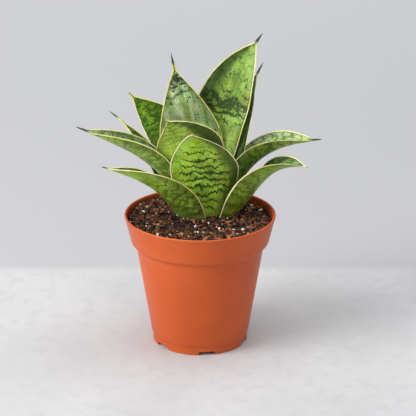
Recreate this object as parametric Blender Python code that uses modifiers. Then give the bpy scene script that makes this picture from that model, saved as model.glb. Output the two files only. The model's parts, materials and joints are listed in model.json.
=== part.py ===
"""A dwarf snake plant in a round plastic nursery pot.

Sizes are in millimetres and become metres as each mesh is made. +Z is up, -Y is the front,
and the origin is the middle of the pot's foot, on the surface that the pot stands on.
"""

import math

import bmesh
import bpy
from mathutils import Vector, noise
from mathutils.geometry import interpolate_bezier

MM = 0.001
GAP = 0.3

# Pot
POT_HEIGHT = 106.5
RIM_RADIUS = 60.0
COLLAR_HEIGHT = 22.0
COLLAR_FOOT_RADIUS = 54.8
BODY_TOP_RADIUS = 50.7
BODY_FOOT_RADIUS = 39.0
FOOT_RADIUS = 38.0
FOOT_HEIGHT = 8.0
FOOT_RING_WIDTH = 3.2
WALL = 1.5
FLOOR_UNDERSIDE = 5.2
FLOOR_TOP = 7.0
POT_STEPS = 64

# Drainage: gaps in the foot ring and holes in the floor
DRAINS = 6
FIRST_DRAIN = -82.0
NOTCH_WIDTH = 13.0
NOTCH_HEIGHT = 3.0
DRAIN_RADIUS = 4.0
DRAIN_CIRCLE = 24.0

# Soil
SOIL_EDGE_HEIGHT = 101.4
SOIL_MOUND = 3.4
SOIL_ROUGHNESS = 0.7
SURFACE_ROWS = 9

# Crown: the upright axis that the leaf bases wrap around, and the rhizome below them
CROWN = Vector((4.0, 18.0, 98.0))
RHIZOME_RADIUS = 23.0
RHIZOME_TOP = 96.6
RHIZOME_BOTTOM = 86.0
POCKET_RADIUS = 25.4
POCKET_TOP_RADIUS = 33.0

# Roots: azimuth and reach from the crown, and the height that the root's end lies at
ROOTS = {
    "root_front": (-95.0, 28.0, 34.0),
    "root_left": (178.0, 24.0, 22.0),
    "root_right": (-12.0, 30.0, 44.0),
    "root_back": (75.0, 14.0, 26.0),
    "root_middle": (-150.0, 12.0, 14.0),
}
ROOT_RADIUS = 1.5

# Leaves
LEAF_THICKNESS = 1.7
LEAF_TIP_THICKNESS = 1.1
SPIKE_RADIUS = 1.4
SECTION_POINTS = 14
BLADE_ROWS = 20
SPIKE_ROWS = 3

# Each leaf's base wraps the crown's axis on a ring, "turn" degrees round from +X and "wrap" degrees
# to each side. Its midrib is one Bezier curve to the tip, and rise and fall are the curve's handles:
# a lean from upright, an azimuth, and a reach. face is the azimuth that the back of the leaf faces
# further up, cup the half angle of its bowed section there, and roll its turn about the midrib.
LEAVES = {
    "leaf_front_left": {
        "ring": 23, "turn": -130, "wrap": 45, "rise": (30, -140, 30), "tip": (-77, -18, 152),
        "fall": (76, 172, 40), "face": (-170,), "width": 48, "cup": (60, 42), "roll": (0, 9, 0),
        "peak": 0.35, "taper": 2.2, "spike": 6,
    },
    "leaf_front_right": {
        "ring": 23, "turn": -24, "wrap": 42, "rise": (38, -24, 36), "tip": (85, -6, 147),
        "fall": (104, -10, 30), "face": (-12,), "width": 46, "cup": (62, 40),
        "roll": (0, -9, 12), "peak": 0.4, "taper": 2.3, "spike": 3,
    },
    "leaf_far_left": {
        "ring": 24, "turn": 146, "wrap": 22, "rise": (34, 158, 32), "tip": (-74, 50, 176),
        "fall": (58, 170, 32), "face": (150,), "width": 22, "cup": (35, 40), "peak": 0.4,
        "taper": 1.6, "spike": 13,
    },
    "leaf_front": {
        "ring": 20, "turn": -88, "wrap": 44, "rise": (7, -95, 38), "tip": (-7, -27, 182),
        "fall": (60, -112, 28), "face": (-105,), "width": 55.5, "cup": (18, 28),
        "roll": (0, 0, -16), "peak": 0.55, "swell": 1.5, "taper": 1.6, "spike": 5,
    },
    "leaf_left": {
        "ring": 17, "turn": 170, "wrap": 28, "rise": (18, 180, 46), "tip": (-98.5, 15, 174),
        "fall": (66, 180, 46), "face": (182,), "width": 51, "cup": (66, 36),
        "roll": (0, 15, -10), "peak": 0.45, "swell": 2.0, "taper": 1.9, "spike": 8,
    },
    "leaf_right": {
        "ring": 17, "turn": 8, "wrap": 30, "rise": (18, 5, 44), "tip": (97, 19, 162),
        "fall": (86, 0, 46), "face": (0,), "width": 60, "cup": (60, 36),
        "roll": (0, -14, 13), "peak": 0.36, "swell": 1.6, "taper": 2.4, "spike": 7,
    },
    "leaf_back_left": {
        "ring": 19, "turn": 114, "wrap": 18, "rise": (19, 92, 50), "tip": (-58, 61.5, 188),
        "fall": (43, 172, 40), "face": (102,), "width": 44, "cup": (20, 20), "peak": 0.5,
        "swell": 2.4, "taper": 1.6, "spike": 4,
    },
    "leaf_back_right": {
        "ring": 15, "turn": 30, "wrap": 22, "rise": (12, 35, 60), "tip": (51, 60, 214),
        "fall": (34, 30, 32), "face": (45, 35), "width": 34, "cup": (35, 35), "peak": 0.5,
        "swell": 1.4,
    },
    "leaf_middle": {
        "ring": 13, "turn": -98, "wrap": 50, "rise": (10, -132, 45), "tip": (-27, -9, 188),
        "fall": (45, -160, 30), "face": (-100,), "width": 58, "cup": (24, 32),
        "roll": (0, -4, -10), "peak": 0.68, "swell": 2.3, "taper": 1.8, "spike": 3,
    },
    "leaf_tall": {
        "ring": 12, "turn": 80, "wrap": 38, "rise": (9, 85, 80), "tip": (50, 53, 240),
        "fall": (44, 36, 42), "face": (78,), "width": 44, "cup": (25, 35), "peak": 0.55,
        "spike": 9,
    },
    "leaf_upper_left": {
        "ring": 6, "turn": 112, "wrap": 60, "rise": (8, 130, 50), "tip": (-23, 32, 230),
        "fall": (10, 170, 45), "face": (92,), "width": 51, "cup": (10, 28), "peak": 0.5,
        "taper": 1.5, "spike": 13,
    },
    "leaf_young": {
        "ring": 4, "turn": -30, "wrap": 46, "rise": (4, 0, 40), "tip": (17, 18, 185),
        "fall": (2, 20, 30), "face": (40,), "width": 7, "cup": (46, 46), "peak": 0.4,
        "spike": 8, "thickness": 3.4,
    },
}
LEAF_DEFAULTS = {
    "roll": (0, 0), "peak": 0.45, "swell": 1.0, "taper": 2.2, "spike": 10,
    "thickness": LEAF_THICKNESS,
}


def clear_scene():
    for old in list(bpy.data.objects):
        bpy.data.objects.remove(old, do_unlink=True)


def make_collection(name):
    collection = bpy.data.collections.new(name)
    bpy.context.scene.collection.children.link(collection)
    return collection


def make_material(name, colour, roughness):
    material = bpy.data.materials.new(name)
    material.use_nodes = True
    shader = material.node_tree.nodes["Principled BSDF"]
    shader.inputs["Base Color"].default_value = (*colour, 1.0)
    shader.inputs["Roughness"].default_value = roughness
    shader.inputs["Metallic"].default_value = 0.0
    material.diffuse_color = (*colour, 1.0)
    return material


def terracotta_plastic():
    return make_material("terracotta_plastic", (0.64, 0.10, 0.015), 0.42)


def potting_mix():
    return make_material("potting_mix", (0.045, 0.028, 0.02), 0.95)


def rhizome_skin():
    return make_material("rhizome_skin", (0.35, 0.20, 0.09), 0.8)


def root_skin():
    return make_material("root_skin", (0.55, 0.34, 0.16), 0.8)


def leaf_skin():
    return make_material("leaf_skin", (0.20, 0.34, 0.05), 0.45)


def add_object(name, data, collection, material=None):
    made = bpy.data.objects.new(name, data)
    collection.objects.link(made)
    if material:
        data.materials.append(material)
    return made


def make_cutter(cutter):
    cutter.hide_render = True
    cutter.display_type = "WIRE"
    return cutter


def cut_by(part, cutters):
    """Cut a part by every object of a collection."""
    cut = part.modifiers.new("Cut", "BOOLEAN")
    cut.operation = "DIFFERENCE"
    cut.solver = "EXACT"
    cut.operand_type = "COLLECTION"
    cut.collection = cutters


def polar(radius, azimuth, height=0.0):
    angle = math.radians(azimuth)
    return Vector((radius * math.cos(angle), radius * math.sin(angle), height))


def direction(lean, azimuth):
    """The unit vector that leans from upright towards an azimuth, both in degrees."""
    return polar(math.sin(math.radians(lean)), azimuth, math.cos(math.radians(lean)))


def smooth_step(low, high, value):
    share = min(max((value - low) / (high - low), 0.0), 1.0)
    return share * share * (3.0 - 2.0 * share)


def through(values, share):
    """The smooth curve through values spread evenly from 0 to 1, read at share."""
    last = len(values) - 1
    total = 0.0
    for i, value in enumerate(values):
        weight = 1.0
        for j in range(len(values)):
            if j != i:
                weight *= (share * last - j) / (i - j)
        total += weight * value
    return total


def wrapped_mesh(name, around, rows, place):
    """A grid rolled into a closed body. place(turn, row) gives a point in mm: turn runs from 0 to 1
    around the body and row counts up from 0. An end is a flat cap, or a tip where its row is a point.
    """
    bm = bmesh.new()
    bmesh.ops.create_grid(bm, x_segments=around, y_segments=rows, size=0.5)
    for vert in bm.verts:
        turn = vert.co.x + 0.5
        row = round((vert.co.y + 0.5) * rows)
        vert.co = place(turn, row) * MM
    bmesh.ops.remove_doubles(bm, verts=bm.verts, dist=0.000001)
    open_edges = [edge for edge in bm.edges if edge.is_boundary]
    if open_edges:
        bmesh.ops.holes_fill(bm, edges=open_edges, sides=0)
    bmesh.ops.recalc_face_normals(bm, faces=bm.faces)
    mesh = bpy.data.meshes.new(name)
    bm.to_mesh(mesh)
    bm.free()
    mesh.shade_smooth()
    mesh.set_sharp_from_angle(angle=math.radians(40))
    return mesh


# ---------------------------------------------------------------- pot


def wall_radius(height):
    """The pot's outer radius at a height above the foot ring: body, step and collar."""
    collar_foot = POT_HEIGHT - COLLAR_HEIGHT
    step_foot = collar_foot - 4.0
    if height <= step_foot:
        share = (height - FOOT_HEIGHT) / (step_foot - FOOT_HEIGHT)
        return BODY_FOOT_RADIUS + share * (BODY_TOP_RADIUS - BODY_FOOT_RADIUS)
    if height <= collar_foot:
        share = (height - step_foot) / (collar_foot - step_foot)
        return BODY_TOP_RADIUS + share * (COLLAR_FOOT_RADIUS - BODY_TOP_RADIUS)
    share = (height - collar_foot) / COLLAR_HEIGHT
    return COLLAR_FOOT_RADIUS + share * (RIM_RADIUS - COLLAR_FOOT_RADIUS)


def pot_profile():
    """Radius and height from the floor's middle up the inside, over the lip and down the outside."""
    collar_foot = POT_HEIGHT - COLLAR_HEIGHT
    step_foot = collar_foot - 4.0
    inside = [
        (0.0, FLOOR_TOP),
        (BODY_FOOT_RADIUS - WALL - 2.0, FLOOR_TOP),
        (wall_radius(FLOOR_TOP + 2.0) - WALL, FLOOR_TOP + 2.0),
        (BODY_TOP_RADIUS - WALL, step_foot + 0.8),
        (COLLAR_FOOT_RADIUS - WALL, collar_foot + 0.8),
        (wall_radius(POT_HEIGHT - 2.4) - WALL, POT_HEIGHT - 2.4),
        (RIM_RADIUS - WALL - 0.6, POT_HEIGHT - 0.7),
        (RIM_RADIUS - WALL, POT_HEIGHT - 0.1),
    ]
    lip = [
        (RIM_RADIUS - 0.7, POT_HEIGHT),
        (RIM_RADIUS - 0.15, POT_HEIGHT - 0.3),
        (RIM_RADIUS, POT_HEIGHT - 0.9),
        (wall_radius(POT_HEIGHT - 2.4), POT_HEIGHT - 2.4),
    ]
    outside = [
        (COLLAR_FOOT_RADIUS + 0.15, collar_foot + 0.6),
        (COLLAR_FOOT_RADIUS - 0.5, collar_foot - 0.5),
        (BODY_TOP_RADIUS, step_foot),
        (BODY_FOOT_RADIUS, FOOT_HEIGHT),
        (FOOT_RADIUS + 0.2, FOOT_HEIGHT - 0.8),
        (FOOT_RADIUS, 0.6),
        (FOOT_RADIUS - 0.6, 0.0),
        (FOOT_RADIUS - FOOT_RING_WIDTH, 0.0),
        (FOOT_RADIUS - FOOT_RING_WIDTH - 0.4, FLOOR_UNDERSIDE),
        (0.0, FLOOR_UNDERSIDE),
    ]
    return inside + lip + outside


def turned_mesh(name, profile):
    """The profile as a chain of edges, for a Screw modifier to turn about Z."""
    bm = bmesh.new()
    verts = [bm.verts.new((radius * MM, 0.0, height * MM)) for radius, height in profile]
    for upper, lower in zip(verts, verts[1:]):
        bm.edges.new((upper, lower))
    mesh = bpy.data.meshes.new(name)
    bm.to_mesh(mesh)
    bm.free()
    return mesh


def make_pot(parts, cutters):
    pot = add_object("pot", turned_mesh("pot", pot_profile()), parts, terracotta_plastic())
    turn = pot.modifiers.new("Turn", "SCREW")
    turn.steps = POT_STEPS
    turn.render_steps = POT_STEPS
    turn.use_merge_vertices = True
    turn.merge_threshold = 0.00001
    turn.use_smooth_shade = True
    for i in range(DRAINS):
        azimuth = FIRST_DRAIN + i * 360.0 / DRAINS
        make_notch_cutter(f"notch_cutter_{i + 1}", azimuth, cutters)
        make_drain_cutter(f"drain_cutter_{i + 1}", polar(DRAIN_CIRCLE, azimuth), cutters)
    make_drain_cutter("drain_cutter_middle", Vector(), cutters)
    cut_by(pot, cutters)
    return pot


def make_notch_cutter(name, azimuth, cutters):
    """A block across the foot ring that leaves a low arch for water to run out."""
    bm = bmesh.new()
    bmesh.ops.create_cube(bm, size=1.0)
    size = Vector((FOOT_RING_WIDTH + 4.0, NOTCH_WIDTH, 2.0 * NOTCH_HEIGHT)) * MM
    bmesh.ops.scale(bm, vec=size, verts=bm.verts)
    mesh = bpy.data.meshes.new(name)
    bm.to_mesh(mesh)
    bm.free()
    cutter = make_cutter(add_object(name, mesh, cutters))
    cutter.location = polar(FOOT_RADIUS - FOOT_RING_WIDTH / 2.0, azimuth) * MM
    cutter.rotation_euler.z = math.radians(azimuth)


def make_drain_cutter(name, place, cutters):
    bm = bmesh.new()
    bmesh.ops.create_cone(
        bm,
        cap_ends=True,
        segments=16,
        radius1=DRAIN_RADIUS * MM,
        radius2=DRAIN_RADIUS * MM,
        depth=(FLOOR_TOP - FLOOR_UNDERSIDE + 2.0) * MM,
    )
    mesh = bpy.data.meshes.new(name)
    bm.to_mesh(mesh)
    bm.free()
    cutter = make_cutter(add_object(name, mesh, cutters))
    cutter.location = (place + Vector((0.0, 0.0, (FLOOR_TOP + FLOOR_UNDERSIDE) / 2.0))) * MM


# ---------------------------------------------------------------- soil, rhizome and roots


def soil_height(x, y):
    """The soil's surface: level near the wall, heaped around the crown, and lumpy."""
    from_crown = math.hypot(x - CROWN.x, y - CROWN.y)
    heap = SOIL_MOUND * (1.0 - smooth_step(22.0, 46.0, from_crown))
    back_left = 2.2 * smooth_step(10.0, 50.0, -0.6 * x + 0.8 * y)
    lumps = SOIL_ROUGHNESS * noise.noise(Vector((x / 7.0, y / 7.0, 3.7)))
    return SOIL_EDGE_HEIGHT + heap + back_left + lumps


def soil_point(turn, row):
    """Rows run from the middle of the bottom, out, up the wall, and in over the surface."""
    azimuth = 360.0 * turn
    floor = FLOOR_TOP + GAP
    side = [
        (0.0, floor),
        (BODY_FOOT_RADIUS - WALL - 2.4, floor),
        (wall_radius(FLOOR_TOP + 2.4) - WALL - GAP, FLOOR_TOP + 2.4),
        (BODY_TOP_RADIUS - WALL - GAP, POT_HEIGHT - COLLAR_HEIGHT - 3.0),
        (COLLAR_FOOT_RADIUS - WALL - GAP, POT_HEIGHT - COLLAR_HEIGHT + 1.2),
    ]
    if row < len(side):
        return polar(side[row][0], azimuth, side[row][1])
    share = (row - len(side)) / SURFACE_ROWS
    edge_radius = wall_radius(SOIL_EDGE_HEIGHT) - WALL - 2.0 * GAP
    point = polar(edge_radius * (1.0 - share), azimuth)
    point.z = soil_height(point.x, point.y)
    return point


def pocket_point(turn, row):
    """The space for the rhizome and for the leaf bases, which lean outwards above it."""
    rings = [
        (0.0, RHIZOME_BOTTOM - GAP),
        (RHIZOME_RADIUS * 0.7 + GAP, RHIZOME_BOTTOM - GAP),
        (RHIZOME_RADIUS + 2.0 * GAP, RHIZOME_BOTTOM + 4.0),
        (POCKET_RADIUS, RHIZOME_TOP),
        (POCKET_TOP_RADIUS, POT_HEIGHT + 4.0),
        (0.0, POT_HEIGHT + 4.0),
    ]
    radius, height = rings[row]
    return Vector((CROWN.x, CROWN.y, 0.0)) + polar(radius, 360.0 * turn, height)


def rhizome_point(turn, row):
    rings = [
        (0.0, RHIZOME_BOTTOM),
        (RHIZOME_RADIUS * 0.7, RHIZOME_BOTTOM),
        (RHIZOME_RADIUS, RHIZOME_BOTTOM + 4.3),
        (RHIZOME_RADIUS, RHIZOME_TOP - 2.0),
        (RHIZOME_RADIUS - 2.5, RHIZOME_TOP),
        (0.0, RHIZOME_TOP),
    ]
    radius, height = rings[row]
    lobes = 1.0 - 0.05 * (1.0 + math.cos(math.radians(5 * 360.0 * turn)))
    return Vector((CROWN.x, CROWN.y, 0.0)) + polar(radius * lobes, 360.0 * turn, height)


def root_tube(name, azimuth, reach, end_height, radius, top, stretch):
    """A root as a mesh tube: down from the rhizome, outwards, and down again to its end."""
    start = Vector((CROWN.x, CROWN.y, 0.0)) + polar(11.0, azimuth)
    end = Vector((CROWN.x, CROWN.y, end_height)) + polar(reach, azimuth)
    bend = Vector((end.x * 0.85, end.y * 0.85, (RHIZOME_BOTTOM + end_height) / 2.0))
    points = [
        start + Vector((0.0, 0.0, top)),
        start + Vector((0.0, 0.0, RHIZOME_BOTTOM - 8.0)),
        (start + Vector((0.0, 0.0, RHIZOME_BOTTOM - 20.0))).lerp(bend, 0.6),
        end + Vector((0.0, 0.0, 10.0)),
        end - Vector((0.0, 0.0, stretch)),
    ]
    curve = bpy.data.curves.new(name, "CURVE")
    curve.dimensions = "3D"
    curve.bevel_depth = radius * MM
    curve.bevel_resolution = 2
    curve.use_fill_caps = True
    spline = curve.splines.new("POLY")
    spline.points.add(len(points) - 1)
    for spline_point, place in zip(spline.points, points):
        spline_point.co = (*(place * MM), 1.0)
    guide = bpy.data.objects.new(name, curve)
    bpy.context.scene.collection.objects.link(guide)
    depsgraph = bpy.context.evaluated_depsgraph_get()
    mesh = bpy.data.meshes.new_from_object(guide.evaluated_get(depsgraph))
    bpy.data.objects.remove(guide, do_unlink=True)
    bm = bmesh.new()
    bm.from_mesh(mesh)
    bmesh.ops.remove_doubles(bm, verts=bm.verts, dist=0.00001)
    bm.to_mesh(mesh)
    bm.free()
    return mesh


def make_soil(parts, cutters):
    body = wrapped_mesh("soil", 36, 5 + SURFACE_ROWS, soil_point)
    soil = add_object("soil", body, parts, potting_mix())
    make_cutter(add_object("pocket_cutter", wrapped_mesh("pocket", 36, 5, pocket_point), cutters))
    for name, (azimuth, reach, end_height) in ROOTS.items():
        top = RHIZOME_BOTTOM + 2.0
        tube = root_tube(name, azimuth, reach, end_height, ROOT_RADIUS + GAP, top, 2.0 * GAP)
        make_cutter(add_object(name + "_cutter", tube, cutters))
    cut_by(soil, cutters)


def make_rhizome_and_roots(parts):
    add_object("rhizome", wrapped_mesh("rhizome", 40, 5, rhizome_point), parts, rhizome_skin())
    skin = root_skin()
    for name, (azimuth, reach, end_height) in ROOTS.items():
        top = RHIZOME_BOTTOM - GAP
        tube = root_tube(name, azimuth, reach, end_height, ROOT_RADIUS, top, 0.0)
        add_object(name, tube, parts, skin)


# ---------------------------------------------------------------- leaves


def midrib(leaf):
    """The leaf's middle line as a chain of points close together, and its running length at each."""
    base = CROWN + polar(leaf["ring"], leaf["turn"])
    tip = Vector(leaf["tip"])
    rise = direction(*leaf["rise"][:2]) * leaf["rise"][2]
    fall = direction(*leaf["fall"][:2]) * leaf["fall"][2]
    points = interpolate_bezier(base, base + rise, tip - fall, tip, 300)
    lengths = [0.0]
    for before, after in zip(points, points[1:]):
        lengths.append(lengths[-1] + (after - before).length)
    return points, lengths


def point_and_heading(points, lengths, share):
    """The point at a share of the length along the chain, and the way the chain runs there."""
    target = share * lengths[-1]
    i = 1
    while i < len(points) - 1 and lengths[i] < target:
        i += 1
    part = (target - lengths[i - 1]) / (lengths[i] - lengths[i - 1])
    point = points[i - 1].lerp(points[i], part)
    before = points[max(i - 3, 0)]
    after = points[min(i + 2, len(points) - 1)]
    return point, (after - before).normalized()


def half_width(leaf, share, blade_end):
    """Half the leaf's width: a wrapped base, a swelling blade, and a thin spike at the tip."""
    base = 2.0 * leaf["ring"] * math.radians(leaf["wrap"])
    across = min(share / blade_end, 1.0)
    if across < leaf["peak"]:
        swell = math.sin(math.pi / 2.0 * across / leaf["peak"]) ** leaf["swell"]
        width = base + (leaf["width"] - base) * swell
    else:
        fall = (across - leaf["peak"]) / (1.0 - leaf["peak"])
        width = leaf["width"] * (1.0 - fall ** leaf["taper"])
    spike = SPIKE_RADIUS * min((1.0 - share) / (1.0 - blade_end), 1.0)
    return max(width / 2.0, spike)


def half_thickness(leaf, share, blade_end):
    """Half the leaf's thickness: fullest at the base, thinner up the blade, round in the spike."""
    blade = leaf["thickness"] + (LEAF_TIP_THICKNESS - leaf["thickness"]) * share
    spike = SPIKE_RADIUS * min((1.0 - share) / (1.0 - blade_end), 1.0)
    return min(blade / 2.0, spike)


def leaf_frame(leaf, points, lengths, share):
    """The midrib's point, and the directions across the leaf and towards its inner face."""
    point, heading = point_and_heading(points, lengths, share)
    face = math.radians(through((leaf["turn"], *leaf["face"]), share))
    across = Vector((-math.sin(face), math.cos(face), 0.0))
    across = (across - heading * across.dot(heading)).normalized()
    inner = heading.cross(across)
    roll = math.radians(through(leaf["roll"], share))
    turned_across = across * math.cos(roll) + inner * math.sin(roll)
    turned_inner = inner * math.cos(roll) - across * math.sin(roll)
    return point, turned_across, turned_inner


def leaf_mesh(name, leaf):
    points, lengths = midrib(leaf)
    blade_end = 1.0 - leaf["spike"] / lengths[-1]
    blade = [blade_end * i / BLADE_ROWS for i in range(BLADE_ROWS + 1)]
    spike = [blade_end + (1.0 - blade_end) * i / SPIKE_ROWS for i in range(1, SPIKE_ROWS + 1)]
    shares = blade + spike
    frames = [leaf_frame(leaf, points, lengths, share) for share in shares]

    def place(turn, row):
        share = shares[row]
        middle, across, inner = frames[row]
        cup = math.radians(through((leaf["wrap"], *leaf["cup"]), share))
        bow_radius = half_width(leaf, share, blade_end) / cup
        around = 2.0 * math.pi * turn
        bow = cup * math.cos(around)
        radius = bow_radius - half_thickness(leaf, share, blade_end) * math.sin(around)
        sideways = across * (radius * math.sin(bow))
        return middle + sideways + inner * (bow_radius - radius * math.cos(bow))

    return wrapped_mesh(name, SECTION_POINTS, len(shares) - 1, place)


def make_leaves(parts):
    skin = leaf_skin()
    for name, shape in LEAVES.items():
        leaf = {**LEAF_DEFAULTS, **shape}
        add_object(name, leaf_mesh(name, leaf), parts, skin)


def main():
    clear_scene()
    parts = make_collection("potted_snake_plant")
    pot_cutters = make_collection("pot_cutters")
    soil_cutters = make_collection("soil_cutters")
    make_pot(parts, pot_cutters)
    make_soil(parts, soil_cutters)
    make_rhizome_and_roots(parts)
    make_leaves(parts)


main()
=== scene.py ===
"""A dwarf snake plant in a round plastic nursery pot.

The pot is a thin moulding with a deep collar, the soil is a bark and peat mix with perlite, and the
leaves are broad blades with cream margins and dark cross bands. Lengths are in millimetres and
become metres as each mesh is made. Colours are linear.
"""

import json
import math
import random

import bmesh
import bpy
from mathutils import Matrix, Vector, noise
from mathutils.geometry import interpolate_bezier

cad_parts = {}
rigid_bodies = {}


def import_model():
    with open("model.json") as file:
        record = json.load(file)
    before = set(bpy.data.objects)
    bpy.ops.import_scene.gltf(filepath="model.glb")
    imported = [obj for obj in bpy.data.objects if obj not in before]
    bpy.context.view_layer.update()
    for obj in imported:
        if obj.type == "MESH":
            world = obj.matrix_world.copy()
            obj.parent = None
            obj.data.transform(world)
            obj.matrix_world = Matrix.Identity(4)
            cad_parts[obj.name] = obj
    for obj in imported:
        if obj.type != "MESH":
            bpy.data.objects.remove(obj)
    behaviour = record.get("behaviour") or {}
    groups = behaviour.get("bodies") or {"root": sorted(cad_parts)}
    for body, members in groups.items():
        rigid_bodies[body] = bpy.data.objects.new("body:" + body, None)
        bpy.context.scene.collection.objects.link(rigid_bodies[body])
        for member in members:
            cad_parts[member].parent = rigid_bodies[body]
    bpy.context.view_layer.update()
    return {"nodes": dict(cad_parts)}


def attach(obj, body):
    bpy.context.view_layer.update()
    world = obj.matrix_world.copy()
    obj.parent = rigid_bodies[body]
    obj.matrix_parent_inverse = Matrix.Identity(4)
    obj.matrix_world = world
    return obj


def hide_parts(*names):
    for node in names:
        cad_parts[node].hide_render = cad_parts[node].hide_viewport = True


MM = 0.001
EVEN_GRAIN = (1.0, 1.0, 1.0)

# Pot
POT_HEIGHT = 106.5
RIM_RADIUS = 60.0
COLLAR_HEIGHT = 22.0
COLLAR_FOOT_RADIUS = 54.8
COLLAR_LINE_AT_FLOOR = 0.0349  # metres: the radius of the collar's slope, carried on to the floor
BODY_TOP_RADIUS = 50.7
BODY_FOOT_RADIUS = 39.0
FOOT_RADIUS = 38.0
FOOT_HEIGHT = 8.0
FOOT_RING_WIDTH = 3.2
WALL = 1.5
FLOOR_UNDERSIDE = 5.2
FLOOR_TOP = 7.0
POT_STEPS = 160
DRAINS = 6
FIRST_DRAIN = -82.0
NOTCH_WIDTH = 13.0
NOTCH_HEIGHT = 3.0
DRAIN_RADIUS = 4.0
DRAIN_CIRCLE = 24.0

# Soil
SOIL_EDGE_HEIGHT = 101.4
SOIL_MOUND = 3.4
FINE_CRUMBS = 3600
COARSE_CRUMBS = 600
BARK_SPLINTERS = 900
PERLITE_GRAINS = 170
GRAIN_BATCH = 50
CROWN = Vector((4.0, 18.0, 98.0))

# Leaves
LEAF_THICKNESS = 1.7
LEAF_TIP_THICKNESS = 1.1
SPIKE_RADIUS = 1.4
SPIKE_FADE = 5.0
SECTION_POINTS = 56
LEAF_ROWS = 120
RIM_LINE_DARKNESS = 0.60

# Each leaf's base wraps the crown on a ring, "turn" degrees round from +X and "wrap" degrees to each
# side. Its midrib is a Bezier curve to the tip, whose handles rise and fall are a lean from upright,
# an azimuth and a reach. face is the azimuth that its back faces further up, cup the half angle of
# its bowed section, and roll its turn about the midrib.
LEAVES = {
    "leaf_front_left": {
        "ring": 23, "turn": -130, "wrap": 45, "rise": (30, -140, 30), "tip": (-77, -18, 152),
        "fall": (76, 172, 40), "face": (-170,), "width": 48, "cup": (60, 42), "roll": (0, 9, 0),
        "peak": 0.35, "taper": 2.2, "spike": 6,
    },
    "leaf_front_right": {
        "ring": 23, "turn": -24, "wrap": 42, "rise": (38, -24, 36), "tip": (85, -6, 147),
        "fall": (104, -10, 30), "face": (-12,), "width": 46, "cup": (62, 40),
        "roll": (0, -9, 12), "peak": 0.4, "taper": 2.3, "spike": 3,
    },
    "leaf_far_left": {
        "ring": 24, "turn": 146, "wrap": 22, "rise": (34, 158, 32), "tip": (-74, 50, 176),
        "fall": (58, 170, 32), "face": (150,), "width": 22, "cup": (35, 40), "peak": 0.4,
        "taper": 1.6, "spike": 13,
    },
    "leaf_front": {
        "ring": 20, "turn": -88, "wrap": 44, "rise": (7, -95, 38), "tip": (-7, -27, 182),
        "fall": (60, -112, 28), "face": (-105,), "width": 55.5, "cup": (18, 28),
        "roll": (0, 0, -16), "peak": 0.55, "swell": 1.5, "taper": 1.6, "spike": 5,
    },
    "leaf_left": {
        "ring": 17, "turn": 170, "wrap": 28, "rise": (18, 180, 46), "tip": (-98.5, 15, 174),
        "fall": (66, 180, 46), "face": (182,), "width": 51, "cup": (66, 36),
        "roll": (0, 15, -10), "peak": 0.45, "swell": 2.0, "taper": 1.9, "spike": 8,
    },
    "leaf_right": {
        "ring": 17, "turn": 8, "wrap": 30, "rise": (18, 5, 44), "tip": (97, 19, 162),
        "fall": (86, 0, 46), "face": (0,), "width": 60, "cup": (60, 36),
        "roll": (0, -14, 13), "peak": 0.36, "swell": 1.6, "taper": 2.4, "spike": 7,
    },
    "leaf_back_left": {
        "ring": 19, "turn": 114, "wrap": 18, "rise": (19, 92, 50), "tip": (-58, 61.5, 188),
        "fall": (43, 172, 40), "face": (102,), "width": 44, "cup": (20, 20), "peak": 0.5,
        "swell": 2.4, "taper": 1.6, "spike": 4,
    },
    "leaf_back_right": {
        "ring": 15, "turn": 30, "wrap": 22, "rise": (12, 35, 60), "tip": (51, 60, 214),
        "fall": (34, 30, 32), "face": (45, 35), "width": 34, "cup": (35, 35), "peak": 0.5,
        "swell": 1.4,
    },
    "leaf_middle": {
        "ring": 13, "turn": -98, "wrap": 50, "rise": (10, -132, 45), "tip": (-27, -9, 188),
        "fall": (45, -160, 30), "face": (-100,), "width": 58, "cup": (24, 32),
        "roll": (0, -4, -10), "peak": 0.68, "swell": 2.3, "taper": 1.8, "spike": 3,
    },
    "leaf_tall": {
        "ring": 12, "turn": 80, "wrap": 38, "rise": (9, 85, 80), "tip": (50, 53, 240),
        "fall": (44, 36, 42), "face": (78,), "width": 44, "cup": (25, 35), "peak": 0.55,
        "spike": 9,
    },
    "leaf_upper_left": {
        "ring": 6, "turn": 112, "wrap": 60, "rise": (8, 130, 50), "tip": (-23, 32, 230),
        "fall": (10, 170, 45), "face": (92,), "width": 51, "cup": (10, 28), "peak": 0.5,
        "taper": 1.5, "spike": 13,
    },
    "leaf_young": {
        "ring": 4, "turn": -30, "wrap": 46, "rise": (4, 0, 40), "tip": (17, 18, 185),
        "fall": (2, 20, 30), "face": (40,), "width": 7, "cup": (46, 46), "peak": 0.4,
        "spike": 8, "thickness": 3.4,
    },
}
LEAF_DEFAULTS = {
    "roll": (0, 0), "peak": 0.45, "swell": 1.0, "taper": 2.2, "spike": 10,
    "thickness": LEAF_THICKNESS,
}

# Leaf colours
DEEP_GREEN = (0.008, 0.024, 0.006)
BLUE_GREEN = (0.040, 0.095, 0.030)
MID_GREEN = (0.240, 0.400, 0.024)
BROAD_GREEN = (0.250, 0.420, 0.016)
VIVID_GREEN = (0.130, 0.290, 0.006)
OLIVE_GREEN = (0.230, 0.370, 0.030)
GREY_GREEN = (0.200, 0.320, 0.090)
LIGHT_GREEN = (0.420, 0.600, 0.120)
SILVER_GREEN = (0.380, 0.520, 0.190)
PALE_SILVER = (0.560, 0.680, 0.360)
CREAM = (0.88, 0.85, 0.44)
YELLOW = (0.82, 0.75, 0.16)
PINK_CREAM = (0.86, 0.77, 0.52)
BROWN = (0.20, 0.09, 0.035)
DARK_SPIKE = (0.030, 0.055, 0.012)

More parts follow.
